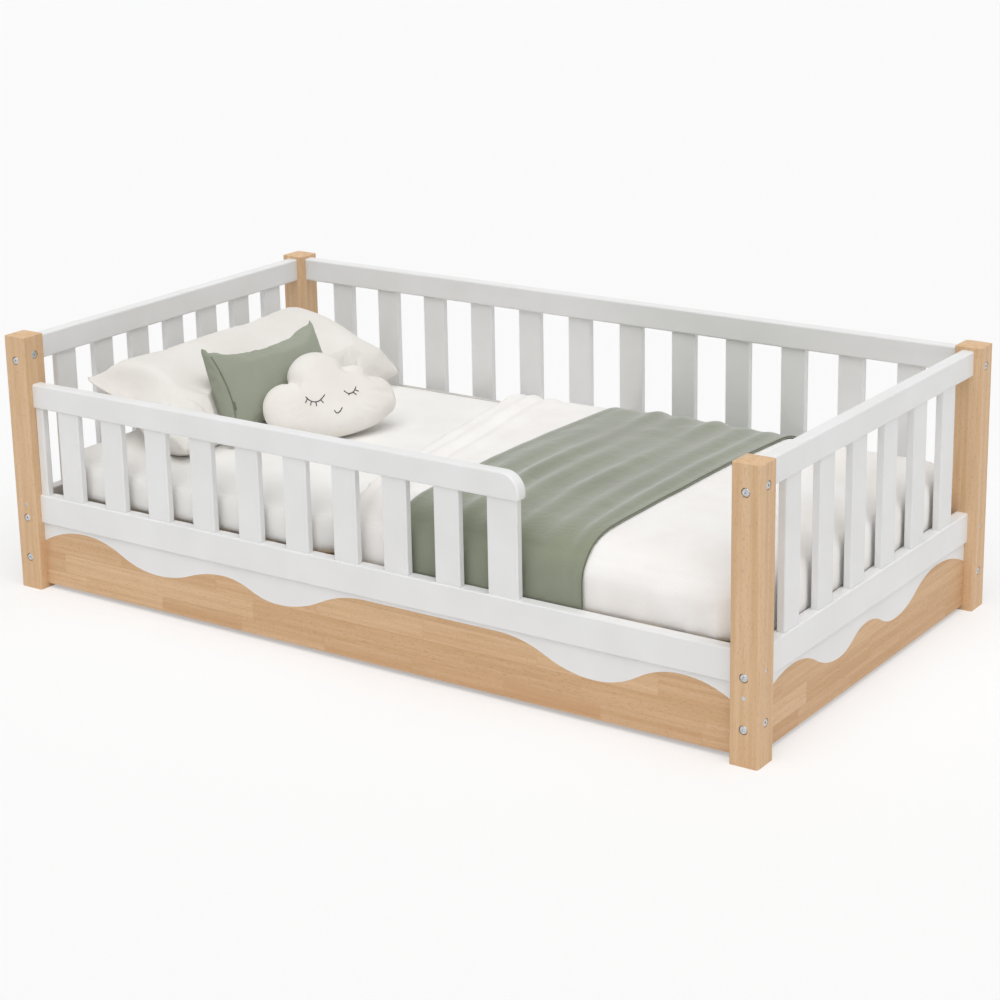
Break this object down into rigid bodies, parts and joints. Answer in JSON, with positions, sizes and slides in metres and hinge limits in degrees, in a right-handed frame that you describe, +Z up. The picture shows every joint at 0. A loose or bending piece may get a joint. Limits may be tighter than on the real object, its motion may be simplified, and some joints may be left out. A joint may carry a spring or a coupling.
{
  "type": "toddler floor bed",
  "caption": "Low toddler bed with beech posts, white slatted sides, a short front guard beside an open entrance, wave-cut base boards, mattress, duvet, throw, pillow and cushions.",
  "frame": {"origin": "on the floor under the middle of the bed", "axes": "+X from the head, where the pillow lies, to the foot; +Y from the open front to the back; +Z up"},
  "size_m": [1.72, 0.935, 0.538],
  "materials": {
    "beech": "clear matt oil, finger-jointed staves on the boards",
    "white_lacquer": "white satin lacquer",
    "pine": "planed, untreated",
    "dowel_wood": "fluted, untreated",
    "zinc_steel": "bright zinc plate",
    "webbing": "woven tape",
    "fitted_sheet": "plain woven cotton",
    "duvet_cotton": "soft washed cotton",
    "pillow_cotton": "soft washed cotton",
    "sage_knit": "fine soft knit",
    "sage_cover": "soft short pile",
    "cream_cover": "soft short pile"
  },
  "bodies": {
    "root": {"post_front_head": "beech", "post_front_foot": "beech", "post_back_foot": "beech", "post_back_head": "beech", "base_board_front": "beech", "base_board_foot": "beech", "base_board_back": "beech", "base_board_head": "beech", "top_rail_back": "white_lacquer", "top_rail_head": "white_lacquer", "top_rail_foot": "white_lacquer", "guard_rail": "white_lacquer", "guard_batten": "white_lacquer", "guard_stile": "white_lacquer", "slats_guard": "white_lacquer", "slats_back": "white_lacquer", "slats_head": "white_lacquer", "slats_foot": "white_lacquer", "mid_rail_front": "white_lacquer", "mid_rail_foot": "white_lacquer", "mid_rail_back": "white_lacquer", "mid_rail_head": "white_lacquer", "apron_front": "white_lacquer", "apron_foot": "white_lacquer", "apron_back": "white_lacquer", "apron_head": "white_lacquer", "ledger_front": "pine", "ledger_back": "pine", "base_slats": "pine", "bolts_long_sides": "zinc_steel", "bolts_short_sides": "zinc_steel", "cover_bolts": "zinc_steel", "barrel_nuts": "zinc_steel", "rail_screws": "zinc_steel", "ledger_screws": "zinc_steel", "rail_dowels": "dowel_wood", "base_strap_front": "webbing", "base_strap_back": "webbing", "mattress": "fitted_sheet", "duvet": "duvet_cotton", "throw_blanket": "sage_knit", "pillow": "pillow_cotton", "cushion": "sage_cover", "cloud_cushion": "cream_cover"}
  },
  "joints": []
}
